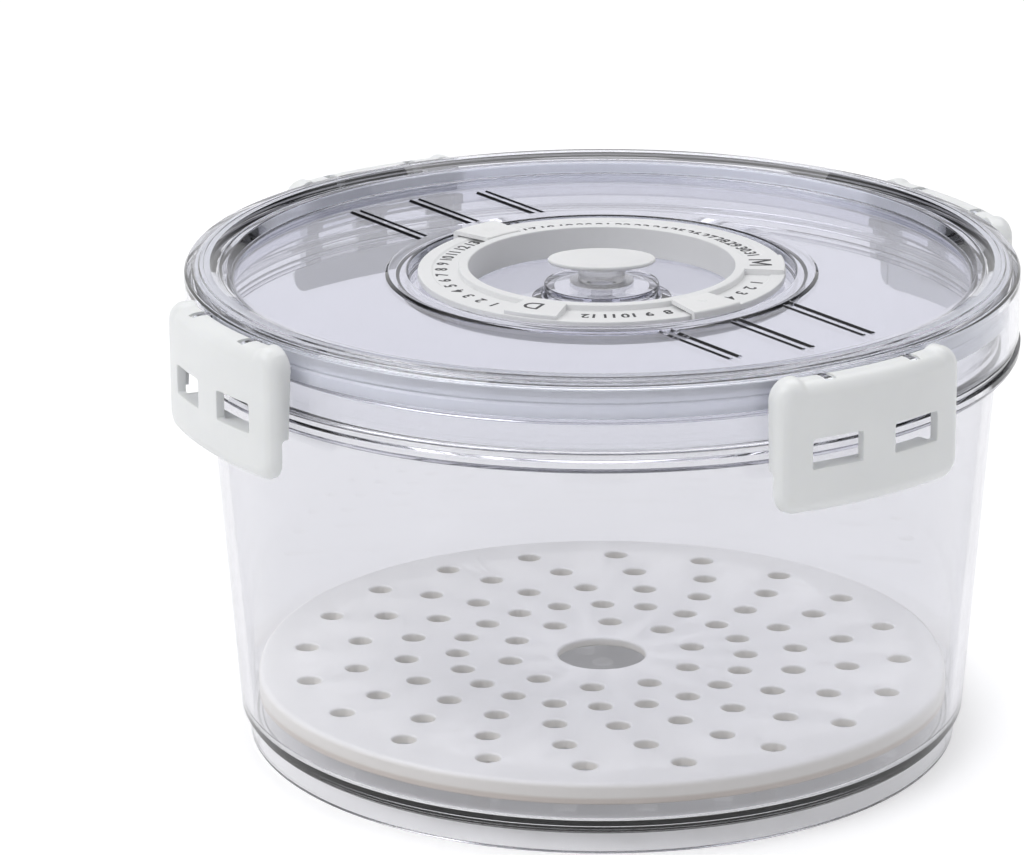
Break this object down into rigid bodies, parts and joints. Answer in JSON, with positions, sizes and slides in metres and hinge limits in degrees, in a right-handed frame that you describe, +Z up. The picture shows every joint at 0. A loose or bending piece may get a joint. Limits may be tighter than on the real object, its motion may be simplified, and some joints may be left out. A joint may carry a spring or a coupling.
{
  "type": "cheese keeper",
  "caption": "Round clear plastic food keeper with a perforated drain plate, a hinged-latch lid, a soft vent plug and a day and month dial on top.",
  "frame": {"origin": "centre of the foot ring's underside", "axes": "+Z up along the tub's axis, -Y to the front, where the picture was taken from"},
  "size_m": [0.1824, 0.1806, 0.1067],
  "materials": {
    "clear_plastic": "clear, polished, with a faint cool tint",
    "plate_plastic": "matte white",
    "dial_plastic": "satin white",
    "latch_plastic": "satin white",
    "seal_silicone": "milky silicone rubber",
    "vent_silicone": "soft white silicone"
  },
  "bodies": {
    "tub": {"tub": "clear_plastic"},
    "drain_plate": {"drain_plate": "plate_plastic"},
    "lid": {"lid": "clear_plastic", "lid_seal": "seal_silicone", "date_ring": "dial_plastic"},
    "vent_plug": {"vent_plug": "vent_silicone"},
    "day_slider": {"day_slider": "dial_plastic"},
    "month_slider": {"month_slider": "dial_plastic"},
    "latch_front_right": {"latch_front_right": "latch_plastic"},
    "latch_back_right": {"latch_back_right": "latch_plastic"},
    "latch_back_left": {"latch_back_left": "latch_plastic"},
    "latch_front_left": {"latch_front_left": "latch_plastic"}
  },
  "joints": [
    {"name": "plate_lift", "type": "slide", "parent": "tub", "child": "drain_plate", "axis": [0, 0, 1], "range_m": [0, 0.075]},
    {"name": "lid_lift", "type": "slide", "parent": "tub", "child": "lid", "axis": [0, 0, 1], "range_m": [0, 0.06]},
    {"name": "vent_pull", "type": "slide", "parent": "lid", "child": "vent_plug", "axis": [0, 0, 1], "range_m": [0, 0.003]},
    {"name": "day_turn", "type": "hinge", "parent": "lid", "child": "day_slider", "pos_m": [0, 0, 0.1033], "axis": [0, 0, 1], "range_deg": [-114.75, 95.25]},
    {"name": "month_turn", "type": "hinge", "parent": "lid", "child": "month_slider", "pos_m": [0, 0, 0.1033], "axis": [0, 0, 1], "range_deg": [-40.75, 36.25]},
    {"name": "latch_hinge_front_right", "type": "hinge", "parent": "lid", "child": "latch_front_right", "pos_m": [0.05356, -0.07481, 0.1035], "axis": [-0.8131, -0.5821, 0], "range_deg": [-5, 100]},
    {"name": "latch_hinge_back_right", "type": "hinge", "parent": "lid", "child": "latch_back_right", "pos_m": [0.07819, 0.04848, 0.1035], "axis": [0.527, -0.8499, 0], "range_deg": [-5, 100]},
    {"name": "latch_hinge_back_left", "type": "hinge", "parent": "lid", "child": "latch_back_left", "pos_m": [-0.05356, 0.07481, 0.1035], "axis": [0.8131, 0.5821, 0], "range_deg": [-5, 100]},
    {"name": "latch_hinge_front_left", "type": "hinge", "parent": "lid", "child": "latch_front_left", "pos_m": [-0.07819, -0.04848, 0.1035], "axis": [-0.527, 0.8499, 0], "range_deg": [-5, 100]}
  ]
}
